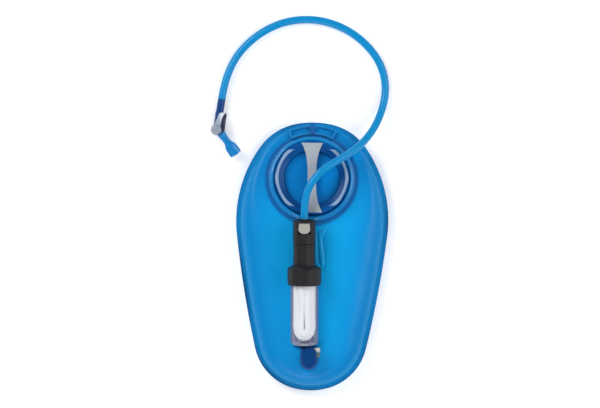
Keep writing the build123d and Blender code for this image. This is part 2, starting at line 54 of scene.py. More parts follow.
def jointFrame(name):
    # origin, side, up and along: the joint's axis and two directions square to it, one of them nearest +X
    along = np.array(joints[name]["axis"], float)
    side = np.array([1.0, 0.0, 0.0])
    side -= along * side.dot(along)
    side /= np.linalg.norm(side)
    up = np.cross(along, side)
    return np.array(joints[name].get("pos_m", [0, 0, 0]), float), side, up, along


portAt, portSide, portUp, portOut = jointFrame("cap_turn")        # portUp runs up the bag, portOut out of it
filterAt, filterSide, filterDown, filterAlong = jointFrame("lock_ring_turn")
filterTop = -filterDown
mouthAt, mouthFlat, mouthUp, mouthAlong = jointFrame("mouthpiece_turn")


def portPoint(x, y, z):
    # millimetres in the fill port's own directions, as a place in metres
    x, y, z = np.broadcast_arrays(x, y, z)
    return portAt + mm * (x[..., None] * portSide + y[..., None] * portUp + z[..., None] * portOut)


def filterPoint(x, v, z):
    # x across the filter, v along it from the bowl's lower end, z towards its top side
    x, v, z = np.broadcast_arrays(x, v, z)
    return filterAt + mm * (x[..., None] * filterSide + v[..., None] * filterAlong + z[..., None] * filterTop)


def meshPiece(name, points, quads, ends=()):
    # an object from a table of points in metres and tables of the point numbers round each face
    mesh = bpy.data.meshes.new(name)
    mesh.from_pydata(points.reshape(-1, 3).tolist(), [], quads.tolist() + [list(end) for end in ends])
    mesh.polygons.foreach_set("use_smooth", np.ones(len(mesh.polygons), bool))
    mesh.update()
    piece = bpy.data.objects.new(name, mesh)
    bpy.context.scene.collection.objects.link(piece)
    return piece


def gridQuads(rows, cols, wrapCols=False):
    # one quad for each cell of a grid of rows by cols points
    i, j = np.meshgrid(np.arange(rows - 1), np.arange(cols if wrapCols else cols - 1), indexing="ij")
    nextI, nextJ = (i + 1) % rows, (j + 1) % cols
    return np.stack([i * cols + j, nextI * cols + j, nextI * cols + nextJ, i * cols + nextJ], -1).reshape(-1, 4)


def closeUp(piece, gap=1e-6):
    # merges points that fall together, drops what has no area, and turns faces outwards
    work = bmesh.new()
    work.from_mesh(piece.data)
    bmesh.ops.remove_doubles(work, verts=work.verts, dist=gap)
    bmesh.ops.dissolve_degenerate(work, edges=work.edges, dist=gap / 10)
    bmesh.ops.recalc_face_normals(work, faces=work.faces)
    work.to_mesh(piece.data)
    work.free()


def addNumber(piece, name, values):
    # one number for each point, for materials to read
    table = piece.data.attributes.new(name, "FLOAT", "POINT").data
    table.foreach_set("value", np.ascontiguousarray(values, np.float32).ravel())


def smoothStep(value, low, high):
    # 0 below low, 1 above high, and three t squared less two t cubed between
    t = np.clip((value - low) / (high - low), 0, 1)
    return t * t * (3 - 2 * t)


def softMin(a, b, width):
    # the lower of two heights, with the corner between them rounded over this width
    h = np.clip(0.5 + 0.5 * (b - a) / width, 0, 1)
    return b + (a - b) * h - width * h * (1 - h)


def drawnIn(rings):
    # the rings with one more at each end, all at that end's middle point
    first, last = rings[:1].mean(1, keepdims=True), rings[-1:].mean(1, keepdims=True)
    return np.concatenate([np.broadcast_to(first, rings[:1].shape), rings, np.broadcast_to(last, rings[:1].shape)])


def loft(name, rings):
    # a skin over closed rings of points, rings by points by xyz; each end is drawn in to its middle point
    rings = drawnIn(rings)
    piece = meshPiece(name, rings, gridQuads(rings.shape[0], rings.shape[1], wrapCols=True))
    closeUp(piece)
    return piece


def curveThrough(points, each=8):
    # Catmull-Rom line through the points, the same number of steps between each two
    points = np.asarray(points, float)
    padded = np.vstack([2 * points[0] - points[1], points, 2 * points[-1] - points[-2]])
    t = np.linspace(0, 1, each, endpoint=False)[None, :, None]
    a, b, c, d = (padded[i:len(padded) - 3 + i][:, None] for i in range(4))
    line = 0.5 * (2 * b + (c - a) * t + (2 * a - 5 * b + 4 * c - d) * t ** 2 + (3 * b - a - 3 * c + d) * t ** 3)
    return np.vstack([line.reshape(-1, points.shape[1]), points[-1:]])


def finish(piece, material, body, slot, *replaced):
    # material, moving body, material slot (not used) and the nodes that the piece stands for
    piece.data.materials.clear()
    piece.data.materials.append(material)
    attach(piece, body)
    if replaced:
        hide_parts(*replaced)
    return piece


class Wire:
    # a socket that + - * and / work on; each sign adds one Math node
    def __init__(self, sheet, socket):
        self.sheet, self.socket = sheet, socket

    def __add__(self, other):
        return self.sheet.calc("ADD", self, other)

    def __radd__(self, other):
        return self.sheet.calc("ADD", other, self)

    def __sub__(self, other):
        return self.sheet.calc("SUBTRACT", self, other)

    def __rsub__(self, other):
        return self.sheet.calc("SUBTRACT", other, self)

    def __mul__(self, other):
        return self.sheet.calc("MULTIPLY", self, other)

    def __rmul__(self, other):
        return self.sheet.calc("MULTIPLY", other, self)

    def __truediv__(self, other):
        return self.sheet.calc("DIVIDE", self, other)

    def __rtruediv__(self, other):
        return self.sheet.calc("DIVIDE", other, self)


class Sheet:
    # one material and the nodes in it
    def __init__(self, name):
        self.material = bpy.data.materials.new(name)
        self.material.use_nodes = True
        self.tree = self.material.node_tree
        self.tree.nodes.clear()

    def node(self, kind, settings=None, inputs=None, output=0):
        # settings go on the node first, then each input is a number, a colour or a wire
        made = self.tree.nodes.new(kind)
        for key, value in (settings or {}).items():
            if key == "stops":
                ramp = made.color_ramp
                while len(ramp.elements) < len(value):
                    ramp.elements.new(0.5)
                for element, (place, colour) in zip(ramp.elements, value):
                    element.position, element.color = place, (*colour, 1)
            else:
                setattr(made, key, value)
        for key, value in (inputs or {}).items():
            if isinstance(value, Wire):
                self.tree.links.new(value.socket, made.inputs[key])
            else:
                made.inputs[key].default_value = value
        return Wire(self, made.outputs[output]) if len(made.outputs) else made

    def calc(self, operation, *values):
        return self.node("ShaderNodeMath", {"operation": operation}, dict(enumerate(values)))

    def place(self, at=(0, 0, 0), turn=(0, 0, 0)):
        # object coordinates, moved so that this point is zero and then turned
        coords = self.node("ShaderNodeTexCoord", None, None, "Object")
        moved = self.node("ShaderNodeVectorMath", {"operation": "SUBTRACT"}, {0: coords, 1: tuple(at)})
        return self.node("ShaderNodeVectorRotate", {"rotation_type": "EULER_XYZ"},
                         {"Vector": moved, "Rotation": turn})

    def split(self, vector):
        # x, y and z of a vector
        return [self.node("ShaderNodeSeparateXYZ", None, {0: vector}, i) for i in range(3)]

    def noise(self, vector, scale, detail=3.0):
        # cloudy numbers about one half, so many to the metre
        return self.node("ShaderNodeTexNoise", None,
                         {"Vector": vector, "Scale": scale, "Detail": detail, "Roughness": 0.55}, "Fac")

    def number(self, name):
        # a number kept on the mesh's points
        return self.node("ShaderNodeAttribute", {"attribute_name": name}, None, "Fac")

    def step(self, value, low, high):
        # 0 below low, 1 above high, smooth between
        return self.node("ShaderNodeMapRange", {"interpolation_type": "SMOOTHSTEP"},
                         {"Value": value, "From Min": low, "From Max": high, "To Min": 0.0, "To Max": 1.0})

    def mix(self, factor, first, second):
        # first colour at 0, second colour at 1
        pick = lambda c: c if isinstance(c, Wire) else (*c, 1)
        return self.node("ShaderNodeMix", {"data_type": "RGBA"}, {0: factor, 6: pick(first), 7: pick(second)}, 2)

    def ramp(self, value, stops):
        # colour by value, straight between the stops
        return self.node("ShaderNodeValToRGB", {"stops": stops}, {"Fac": value}, "Color")

    def bump(self, height, distance, strength):
        # normals of a surface raised by height times distance, in metres
        return self.node("ShaderNodeBump", None,
                         {"Height": height, "Distance": distance, "Strength": strength}, "Normal")

    def surface(self, **sockets):
        # the shader itself, from short names for its sockets
        names = {
            "colour": "Base Color", "roughness": "Roughness", "metallic": "Metallic", "normal": "Normal",
            "alpha": "Alpha", "coat": "Coat Weight", "coatRoughness": "Coat Roughness",
            "specular": "Specular IOR Level", "glow": "Emission Color", "glowStrength": "Emission Strength",
        }
        inputs = {names[key]: value for key, value in sockets.items()}
        shader = self.node("ShaderNodeBsdfPrincipled", None, inputs, "BSDF")
        self.node("ShaderNodeOutputMaterial", None, {"Surface": shader})
        return self.material


def paint(red, green, blue):
    # a screen colour, 0 to 255, as the linear colour that shaders use
    c = np.array([red, green, blue]) / 255
    return tuple(float(v) for v in np.where(c <= 0.04045, c / 12.92, ((c + 0.055) / 1.055) ** 2.4))


view = {"middle": (-0.0138, 0.0624), "level": 0.022, "across": 0.720, "lens": 300.0, "film": 36.0}
studio = {
    "world": 0.26,
    "aim": (0, 0.05, 0.02),
    "floorHalf": 6.0,
    "floorLevel": -0.0005,
    "floorGlow": 0.34,
    "lights": [   # name, place, size, watts
        ("keyLight", (-1.30, 1.20, 1.55), 1.1, 27.0),
        ("rightLight", (1.65, 0.35, 1.55), 1.5, 22.0),
        ("lowLight", (-0.35, -1.75, 1.50), 1.5, 22.0),
    ],
}


def makeStage():
    # camera straight above, as far off as its lens needs for this width; soft area lights all round; pale floor
    camera = bpy.data.objects.new("camera", bpy.data.cameras.new("camera"))
    camera.data.lens = view["lens"]
    camera.data.sensor_width = view["film"]
    camera.data.clip_end = 50.0
    away = view["across"] * view["lens"] / view["film"]
    camera.location = (*view["middle"], view["level"] + away)
    bpy.context.scene.collection.objects.link(camera)
    bpy.context.scene.camera = camera
    bpy.context.scene.view_settings.view_transform = "Standard"

    world = bpy.data.worlds.new("studio")
    bpy.context.scene.world = world
    world.use_nodes = True
    world.node_tree.nodes["Background"].inputs[0].default_value = (1.0, 1.0, 1.0, 1)
    world.node_tree.nodes["Background"].inputs[1].default_value = studio["world"]
    for name, place, size, power in studio["lights"]:
        light = bpy.data.objects.new(name, bpy.data.lights.new(name, "AREA"))
        light.data.size = size
        light.data.energy = power
        light.location = place
        light.rotation_euler = (Vector(studio["aim"]) - Vector(place)).to_track_quat("-Z", "Y").to_euler()
        bpy.context.scene.collection.objects.link(light)

    half, level = studio["floorHalf"], studio["floorLevel"]
    corners = np.array([[-half, -half, level], [half, -half, level], [half, half, level], [-half, half, level]])
    ground = meshPiece("ground", corners, np.array([[0, 1, 2, 3]]))
    sheet = Sheet("paleFloor")
    grain = sheet.noise(sheet.place(), 40.0)
    colour = sheet.mix(grain, (0.84, 0.84, 0.84), (0.86, 0.86, 0.86))
    ground.data.materials.append(sheet.surface(colour=colour, roughness=0.9, specular=0.1,
                                               glow=(1, 1, 1, 1), glowStrength=studio["floorGlow"]))


makeStage()
print("stage ready")

tube = {
    "diameter": 0.0092,
    "route": [
        (-8.6, 44.62, 57.27), (-8.6, 64.54, 59.01), (-3.2, 84.2, 61.4), (11.6, 102.4, 61.4), (33.4, 115.6, 55.4),
        (56.2, 130.0, 40.6), (74.0, 150.4, 23.4), (85.2, 174.8, 10.2), (90.0, 201.0, 4.7), (85.4, 227.0, 4.7),
        (69.2, 252.2, 4.7), (41.8, 273.8, 4.7), (7.0, 285.2, 4.7), (-30.4, 283.0, 4.7), (-61.8, 268.6, 4.7),
        (-86.0, 246.8, 4.7), (-99.4, 223.4, 6.0), (-106.74, 198.16, 7.8), (-110.22, 173.41, 7.8),
    ],
    "length": 0.5170,
    "barb": (0.0150, 0.0175),   # the dark stretch over the valve's barb, from the tube's end
}


def makeTube():
    # a NURBS line through the route's points as control points, with a round section
    curve = bpy.data.curves.new("drinkTube", "CURVE")
    curve.dimensions = "3D"
    line = curve.splines.new("NURBS")
    line.points.add(len(tube["route"]) - 1)
    route = np.array(tube["route"]) * mm
    line.points.foreach_set("co", np.hstack([route, np.ones((len(route), 1))]).ravel())
    line.order_u = 3
    line.use_endpoint_u = True
    line.resolution_u = 16
    curve.bevel_depth = tube["diameter"] / 2
    curve.bevel_resolution = 10
    curve.use_fill_caps = True
    piece = bpy.data.objects.new("drinkTube", curve)
    bpy.context.scene.collection.objects.link(piece)
    sheet = Sheet("tubeBlue")
    away = sheet.node("ShaderNodeVectorMath", {"operation": "LENGTH"}, {0: sheet.place(route[-1])}, "Value")
    barb = 1 - sheet.step(away, *tube["barb"])
    cloud = sheet.noise(sheet.place(), 220.0)
    plain = sheet.mix(cloud, paint(0, 132, 196), paint(0, 148, 212))
    colour = sheet.mix(barb, plain, paint(4, 62, 128))
    curve.materials.append(sheet.surface(colour=colour, roughness=0.3, specular=0.22, coat=0.08, coatRoughness=0.15))
    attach(piece, "drink_tube")
    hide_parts("hose")
    return piece


drinkTube = makeTube()
print("tube ready")

bag = {
    "arcs": [(105.2, 11.6), (68.5, 43.0), (152.5, 42.2), (1253.6, 6.3), (64.3, 62.0)],   # radius, turn
    "twist": -0.8,             # degrees
    "middle": (0.3, -0.6),
    "seamHigh": 14.0,
    "seamWide": 4.6,
    "frontRise": 20.0,
    "backDrop": 14.0,
    "film": 0.7,
    "crown": 0.66,             # below 1 the film leaves the seam steeply and is flatter on top
    "cut": (0.195, 0.334),     # each film before it was welded and filled
    "cutArea": 0.0510,
    "around": 360,
    "inward": 130,
    "spine": (-88, 62),        # the rings close on this stretch of the middle line
}
creases = {
    "ripple": 0.35,            # height of the broad unevenness
    "flankAt": 52,             # fine puckers across both flanks: place, half width, spacing, height
    "flankWide": 13,
    "puckerGap": 5.1,
    "pucker": 0.22,
    "tuckGap": (7.5, 8.1),     # tucks at the seam, front and back: spacing and height
    "tuck": (0.30, 0.25),
    "fold": 0.9,               # the long fold: how far it stands up and how deep its edge is creased
    "foldEdge": 0.75,
    "crumple": 0.55,
    "weldRing": (15.6, 0.4),   # round the drinking outlet: radius and height
    "troughSnug": 0.93,        # share of the filter's radius at which the film leaves it
}


def bagOutline(count):
    # tangent arcs from the top, clockwise down the right side, then mirrored; evenly spaced along their length
    turn, x, y, line = 0.0, 0.0, 0.0, []
    arcs = list(bag["arcs"])
    for step in range(len(arcs) + 1):
        if step == len(arcs):
            rest = math.pi - turn
            radius = x / math.sin(rest)
        else:
            radius, rest = arcs[step][0], math.radians(arcs[step][1])
        bend = np.linspace(0, rest, 80)[(0 if step == 0 else 1):]
        line.append(np.stack([x + radius * (np.sin(turn + bend) - math.sin(turn)),
                              y - radius * (math.cos(turn) - np.cos(turn + bend))], -1))
        x, y = line[-1][-1]
        turn += rest
    half = np.vstack(line)
    half[:, 1] -= half[:, 1].min() / 2
    whole = np.vstack([half, (half * [-1, 1])[-2:0:-1]])
    c, d = math.cos(math.radians(bag["twist"])), math.sin(math.radians(bag["twist"]))
    whole = whole @ np.array([[c, d], [-d, c]]) + bag["middle"]
    closed = np.vstack([whole, whole[:1]])
    run = np.r_[0, np.cumsum(np.linalg.norm(np.diff(closed, axis=0), axis=1))]
    at = np.linspace(0, run[-1], count, endpoint=False)
    return np.stack([np.interp(at, run, closed[:, 0]), np.interp(at, run, closed[:, 1])], -1)


def edgeDistance(places, outline):
    # how far each place is from the outline, in millimetres
    side = np.roll(outline, -1, axis=0) - outline
    flat = places.reshape(-1, 2)
    found = np.empty(len(flat))
    batch = 4000   # places at a time, to keep the tables small
    for start in range(0, len(flat), batch):
        block = flat[start:start + batch]
        away = block[:, None] - outline[None]
        t = np.clip((away * side).sum(-1) / (side * side).sum(-1), 0, 1)
        found[start:start + batch] = np.linalg.norm(away - t[..., None] * side, axis=-1).min(1)
    return found.reshape(places.shape[:-1])


def pillow(inset, rise, reach, power):
    # zero at the seam, then a quarter of a rounded hill that levels off this far in
    u = np.clip((inset - bag["seamWide"]) / reach, 0, 1)
    return rise * np.clip(1 - (1 - u) ** power, 0, 1) ** bag["crown"]


def ripple(x, y, seed):
    # a sum of fixed waves that never line up, between about -1 and 1
    rng = np.random.default_rng(seed)
    total = np.zeros_like(x)
    for wave in range(9):
        angle, size, phase = rng.uniform(0, math.pi), rng.uniform(16, 60), rng.uniform(0, 2 * math.pi)
        total += np.sin((x * math.cos(angle) + y * math.sin(angle)) * 2 * math.pi / size + phase)
    return total / 4.5


def planeHeight(x, y, at, normal):
    # height in millimetres of a tilted plane over each place
    return at[2] - ((x - at[0]) * normal[0] + (y - at[1]) * normal[1]) / normal[2]


outlineLine = bagOutline(900)
outletAt = filterPoint(5.4, -18.5, -11.0) / mm
foldLine = curveThrough([
    (19.8, 34), (13.4, 21), (14.8, 7.6), (16.0, -5.9), (15.2, -12.6), (12.8, -14.6), (10.6, -12.0),
    (8.6, -4.7), (7.6, 12.5), (6.6, 30)
], 6)


def foldDistance(x, y):
    # how far each place is from the fold's edge, and how deep it is inside the fold (zero outside it)
    flat = np.stack([np.ravel(x), np.ravel(y)], -1)
    near = np.where((np.abs(flat[:, 0] - 12) < 16) & (np.abs(flat[:, 1] - 10) < 34))[0]
    away, inside = np.full(len(flat), 50.0), np.zeros(len(flat))
    a, b = foldLine[:-1], foldLine[1:]
    gap = flat[near][:, None] - a
    t = np.clip((gap * (b - a)).sum(-1) / ((b - a) ** 2).sum(-1), 0, 1)
    away[near] = np.linalg.norm(gap - t[..., None] * (b - a), axis=-1).min(1)
    half = len(foldLine) // 2 + 3
    left = np.interp(flat[near, 1], foldLine[half:, 1], foldLine[half:, 0])
    right = np.interp(flat[near, 1], foldLine[:half][::-1, 1], foldLine[:half][::-1, 0])
    within = (flat[near, 0] > left) & (flat[near, 0] < right) & (flat[near, 1] > -14) & (flat[near, 1] < 30)
    inside[near] = np.where(within, away[near], 0)
    return away.reshape(x.shape), inside.reshape(x.shape)


def aroundBag(x, y):
    # how far round the bag a place is, as an arc of 90 millimetres' radius
    return np.arctan2(x, y + 0.001) * 90


def frontHeight(x, y, inset):
    # the pillow, with ripples, puckers and tucks on it, kept under the port and outlet and out of the filter's way
    high = bag["seamHigh"] + bag["film"] + pillow(inset, bag["frontRise"] - bag["film"], 33.0, 2.4)
    full = smoothStep(inset, 8, 26)
    high = high + full * creases["ripple"] * ripple(x, y, 4)
    # fine puckers that run across the bag on both flanks
    flank = np.exp(-((np.abs(x) - creases["flankAt"]) / creases["flankWide"]) ** 2)
    flank = flank * smoothStep(y, -95, -60) * (1 - smoothStep(y, 25, 60))
    puckers = np.sin(y * 2 * math.pi / creases["puckerGap"] + 1.3 * np.sin(x / 9) + 0.9 * np.sin(y / 23 + x / 17))
    strength = (0.6 + 0.4 * np.sin(y / 15 + 1)) * np.where(x < 0, 1.0, 0.55)
    high = high + flank * creases["pucker"] * puckers * strength
    # tucks that run in from the seam
    along = aroundBag(x, y)
    tuck = np.exp(-((inset - 9) / 4.5) ** 2)
    waves = np.sin(along * 2 * math.pi / creases["tuckGap"][0] + 2 * np.sin(along / 19))
    high = high + tuck * creases["tuck"][0] * waves
    high = softMin(high, planeHeight(x, y, portAt / mm, portOut), 2.5)
    high = softMin(high, planeHeight(x, y, outletAt, filterTop), 2.0)
    # trough that the filter presses in
    v = (y - filterAt[1] / mm) / filterAlong[1]
    axisHigh = filterAt[2] / mm + v * filterAlong[2]
    radius = 16.5 + 0.9 + 3.9 * smoothStep(v, 67.5, 72.2) * (1 - smoothStep(v, 97.5, 102))
    across = np.abs(x - filterAt[0] / mm)
    snug = radius * creases["troughSnug"]
    inside = np.sqrt(np.clip(radius ** 2 - np.minimum(across, snug) ** 2, 0, None))
    trough = axisHigh - inside + np.clip(across - snug, 0, None) * 1.1
    ends = smoothStep(v, -7.5, -1.0) * (1 - smoothStep(v, 101, 112))
    high = np.where(ends > 0, softMin(high, trough + (1 - ends) * 14, 1.6), high)
    # a long narrow fold below the fill port, raised between two creases that meet at its lower end
    away, inside = foldDistance(x, y)
    high = high + creases["fold"] * smoothStep(inside, 0.2, 2.6) - creases["foldEdge"] * np.exp(-(away / 0.75) ** 2)
    # crumpled film between the fill port and the filter's neck
    crumple = np.exp(-((x - 13) / 8) ** 2 - ((y - 30) / 7) ** 2)
    waves = np.sin((x * 0.93 + y * 0.37) * 1.5 + np.sin(y * 0.6)) * np.cos((y * 0.9 - x * 0.45) * 0.7)
    high = high + crumple * creases["crumple"] * waves
    # weld ring round the drinking outlet
    fromOutlet = np.hypot(x - outletAt[0], y - outletAt[1])
    ring, ringHigh = creases["weldRing"]
    return high + ringHigh * np.exp(-((fromOutlet - ring) / 0.9) ** 2)


def backHeight(x, y, inset):
    # the same pillow turned over, tucked at the seam and resting flat on the floor
    low = bag["seamHigh"] - bag["film"] - pillow(inset, bag["backDrop"] - bag["film"], 30.0, 2.6)
    tuck = np.exp(-((inset - 8) / 4) ** 2)
    waves = np.sin(aroundBag(x, y) * 2 * math.pi / creases["tuckGap"][1])
    return np.maximum(low + tuck * creases["tuck"][1] * waves, 0.0)


def makeFilm(name, height, outward, holes, material, node):
    # rings from the outline towards the bag's middle line, each point dropped to the film's height
    rim = bagOutline(bag["around"])
    spine = np.stack([np.zeros(len(rim)), np.clip(rim[:, 1] * 0.62, *bag["spine"])], -1)
    share = np.linspace(0, 1, bag["inward"]) ** 1.25
    places = rim[None] + (spine - rim)[None] * share[:, None, None]
    inset = edgeDistance(places, outlineLine)
    inset[0] = 0
    high = height(places[..., 0], places[..., 1], inset)
    points = np.concatenate([places, high[..., None]], -1) * mm
    quads = gridQuads(*places.shape[:2], wrapCols=True)
    centre = points.reshape(-1, 3)[quads].mean(1)
    keep = np.ones(len(quads), bool)
    for at, radius in holes:
        keep &= np.linalg.norm(centre[:, :2] - np.array(at)[:2], axis=1) > radius * mm
    piece = meshPiece(name, points, quads[keep])
    addNumber(piece, "inset", inset)
    closeUp(piece, 2e-5)
    work = bmesh.new()
    work.from_mesh(piece.data)
    loose = [vert for vert in work.verts if not vert.link_faces]
    bmesh.ops.delete(work, geom=loose, context="VERTS")
    up = sum(face.normal.z for face in work.faces)
    if up * outward < 0:
        bmesh.ops.reverse_faces(work, faces=work.faces)
    work.to_mesh(piece.data)
    work.free()
    wall = piece.modifiers.new("wall", "SOLIDIFY")
    wall.thickness = bag["film"] * mm
    wall.offset = -1
    return finish(piece, material, "reservoir", "film_blue", node)


def filmMaterial():
    # blue with painted shade that deepens from the bag's middle towards the seam, a fine weld pattern on the seam,
    # and a faint skin
    sheet = Sheet("filmBlue")
    inset = sheet.number("inset")
    place = sheet.place()
    cloud = sheet.noise(place, 9.0, 2.0)
    # painted shade: the film's blue darkens from the bag's bright middle towards the seam, where the pillow turns
    # away
    base = sheet.ramp(inset / 60 + (cloud - 0.5) * 0.20, [
        (0.00, paint(0, 84, 136)), (0.03, paint(0, 122, 186)), (0.10, paint(0, 138, 206)), (0.26, paint(0, 132, 204)),
        (0.48, paint(0, 146, 218)), (0.78, paint(0, 160, 230)), (1.0, paint(0, 164, 232)),
    ])
    weld = sheet.node("ShaderNodeTexWave", {"wave_type": "BANDS", "bands_direction": "DIAGONAL"},
                      {"Vector": place, "Scale": 420.0}, "Fac")
    onSeam = 1 - sheet.step(inset, 3.6, 4.6)
    skin = sheet.noise(place, 900.0, 2.0)
    height = weld * onSeam * 0.35 + skin * 0.05 + sheet.noise(place, 120.0, 3.0) * 0.12
    rough = 0.34 + sheet.noise(place, 30.0) * 0.08 + onSeam * 0.12
    return sheet.surface(colour=base, roughness=rough, specular=0.16, coat=0.05, coatRoughness=0.2,
                         normal=sheet.bump(height, 0.0003, 0.5))


filmBlue = filmMaterial()
backFilm = makeFilm("backFilm", backHeight, -1, [], filmBlue, "back_panel")
openings = [(portAt, 43.5), (outletAt * mm, 8.0)]   # centre, radius
frontFilm = makeFilm("frontFilm", frontHeight, 1, openings, filmBlue, "front_panel")
print("bag ready")


def mouldedPlastic(name, dark, light, roughness=0.3, coat=0.2, grain=1500.0, depth=0.00006, specular=0.3):
    # slow drift between two colours and a fine moulded grain in the gloss and the surface
    sheet = Sheet(name)
    place = sheet.place()
    tone = sheet.noise(place, 35.0, 2.0)
    fine = sheet.noise(place, grain, 2.0)
    colour = sheet.mix(tone, dark, light)
    return sheet.surface(colour=colour, roughness=roughness + (fine - 0.5) * 0.12, specular=specular,
                         coat=coat, coatRoughness=0.1, normal=sheet.bump(fine, depth, 0.6))


def metalFinish(name):
    # steel, brighter and duller in fine patches
    sheet = Sheet(name)
    streak = sheet.noise(sheet.place(), 700.0)
    return sheet.surface(colour=sheet.mix(streak, paint(150, 150, 155), paint(205, 205, 210)), metallic=1.0,
                         roughness=0.25 + streak * 0.2)


def alongPort(sheet, at):
    # the place in the fill port's own directions, in metres from at: across, up the bag, outwards
    return sheet.split(sheet.place(at, (math.atan2(portOut[1], portOut[2]), 0, 0)))


def portMaterial(name, stops, reach=60.0, roughness=0.2, coat=0.3, specular=0.3):
    # colour by distance from the fill port's axis, as a share of reach in millimetres
    sheet = Sheet(name)
    x, y = alongPort(sheet, portAt)[:2]
    radius = sheet.calc("SQRT", x * x + y * y) / mm
    tone = sheet.noise(sheet.place(), 20.0, 2.0)
    fine = sheet.noise(sheet.place(), 1400.0, 2.0)
    colour = sheet.ramp(radius / reach + (tone - 0.5) * 0.02, stops)
    return sheet.surface(colour=colour, roughness=roughness + tone * 0.06, specular=specular,
                         coat=coat, coatRoughness=0.08,
                         normal=sheet.bump(fine, 0.00003, 0.5))


# the lighter band round the shoulder, about 45 to 50 mm out, is a painted highlight on the convex shoulder
collarBlue = portMaterial("collarBlue", [
    (0.60, paint(0, 104, 180)), (0.745, paint(0, 130, 200)), (0.79, paint(0, 142, 210)), (0.84, paint(0, 124, 194)),
    (0.875, paint(0, 104, 176)), (0.93, paint(0, 108, 180)), (0.99, paint(0, 118, 190)),
], coat=0.45)
# the dark ring from about 33 to 40 mm out is painted shade on the steep wall of the cap's recess
capBlue = portMaterial("capBlue", [
    (0.0, paint(0, 126, 200)), (0.45, paint(0, 124, 198)), (0.53, paint(0, 130, 204)), (0.555, paint(0, 80, 146)),
    (0.62, paint(0, 70, 136)), (0.67, paint(0, 74, 144)), (0.74, paint(0, 84, 156)),
], roughness=0.3, coat=0.05, specular=0.12)
gripGrey = mouldedPlastic("gripGrey", paint(158, 168, 178), paint(172, 181, 190), 0.55, 0.0, 1800.0, 0.0001)
padLilac = mouldedPlastic("padLilac", paint(126, 156, 190), paint(144, 170, 202), 0.5, 0.0, 1800.0, 0.0001)
filterBlack = mouldedPlastic("filterBlack", paint(24, 22, 25), paint(36, 34, 37), 0.45, 0.0, 1600.0, 0.00012)
buttonGrey = mouldedPlastic("buttonGrey", paint(160, 160, 154), paint(176, 175, 170), 0.45, 0.1)
outletNavy = mouldedPlastic("outletNavy", paint(0, 50, 112), paint(0, 70, 134), 0.25, 0.05, specular=0.2)
outletBlue = mouldedPlastic("outletBlue", paint(0, 112, 184), paint(0, 126, 198), 0.15, 0.6)
valveNavy = mouldedPlastic("valveNavy", paint(4, 56, 120), paint(8, 66, 132), 0.3, 0.3)
biteBlue = mouldedPlastic("biteBlue", paint(0, 112, 186), paint(0, 136, 206), 0.25, 0.4, 900.0)
valveWhite = mouldedPlastic("valveWhite", paint(225, 225, 225), paint(235, 235, 235), 0.4, 0.1)
ringRubber = mouldedPlastic("ringRubber", paint(22, 22, 24), paint(32, 32, 34), 0.5, 0.0)
sealClear = mouldedPlastic("sealClear", paint(215, 220, 225), paint(225, 230, 235), 0.4, 0.0)
resinWhite = mouldedPlastic("resinWhite", paint(222, 220, 210), paint(235, 232, 224), 0.35, 0.2)
springSteel = metalFinish("springSteel")
latchSteel = metalFinish("latchSteel")


def alongFilter(sheet):
    # the place in the filter's own directions, in metres: across, along, up
    return sheet.split(sheet.place(filterAt, (-math.atan2(filterAlong[2], filterAlong[1]), 0, 0)))


def bowlMaterial():
    # clear over the fibres, milky at the bowl's closed end and where the wall turns away
    sheet = Sheet("bowlClear")
    along, up = alongFilter(sheet)[1:]
    haze = sheet.noise(sheet.place(), 60.0)
    lowEnd = 1 - sheet.step(along, 0.0015, 0.0060)
    behind = 1 - sheet.step(up, -0.004, 0.001)
    edge = sheet.node("ShaderNodeLayerWeight", None, {"Blend": 0.35}, "Facing")
    cover = 0.07 + lowEnd * 0.35 + edge * edge * 0.5 + behind * 0.7
    colour = sheet.mix(haze, paint(176, 184, 214), paint(196, 202, 228))
    return sheet.surface(colour=colour, roughness=0.12 + haze * 0.05, alpha=cover, coat=0.4, coatRoughness=0.05)


def silverMaterial():
    # painted highlight where the button faces the bowl, painted shade towards its lower end
    sheet = Sheet("outletSilver")
    fine = sheet.noise(sheet.place(), 1500.0)
    # painted highlight on the button's upper part, painted shade on its lower part
    buttonHighlight = sheet.step(alongFilter(sheet)[1], -0.0085, -0.0050)
    colour = sheet.mix(buttonHighlight, paint(84, 104, 112), paint(196, 202, 204))
    return sheet.surface(colour=colour, roughness=0.35 + fine * 0.1)


def handleMaterial():
    # a blue arch with a darker post between its two windows
    sheet = Sheet("handleBlue")
    across = alongPort(sheet, portAt + 0.059 * portUp)[0]
    away = sheet.calc("ABSOLUTE", across - 0.0008)
    onPost = 1 - sheet.step(away, 0.0024, 0.0034)
    tone = sheet.noise(sheet.place(), 90.0)
    rim = sheet.mix(tone, paint(0, 122, 194), paint(0, 140, 212))
    colour = sheet.mix(onPost, rim, paint(0, 96, 170))
    return sheet.surface(colour=colour, roughness=0.15 + tone * 0.08, coat=0.6, coatRoughness=0.06)


bowlClear = bowlMaterial()
outletSilver = silverMaterial()
handleBlue = handleMaterial()

cadFinish = {
    "fill_collar": collarBlue, "port_handle": handleBlue, "cap_shell": capBlue, "cap_grip_bar": gripGrey,
    "cap_seal": sealClear, "outlet_base": outletBlue, "outlet_housing": outletNavy, "outlet_button": outletSilver,
    "outlet_latch": latchSteel, "outlet_poppet": valveWhite, "outlet_poppet_spring": springSteel,
    "filter_inlet_plug": filterBlack, "inlet_oring": ringRubber, "filter_bowl": bowlClear, "filter_ring": filterBlack,
    "filter_head": filterBlack, "head_oring": ringRubber, "potting_disc": resinWhite, "connector_body": filterBlack,
    "hose_button": buttonGrey, "connector_latch": latchSteel, "connector_poppet": valveWhite,
    "connector_poppet_spring": springSteel, "hose_plug": filterBlack, "hose_plug_oring": ringRubber,
    "shutoff_body": valveNavy, "shutoff_spool": valveWhite, "shutoff_orings": ringRubber,
}
for name, material in cadFinish.items():
    nodes[name].data.materials.clear()
    nodes[name].data.materials.append(material)
print("finishes ready")

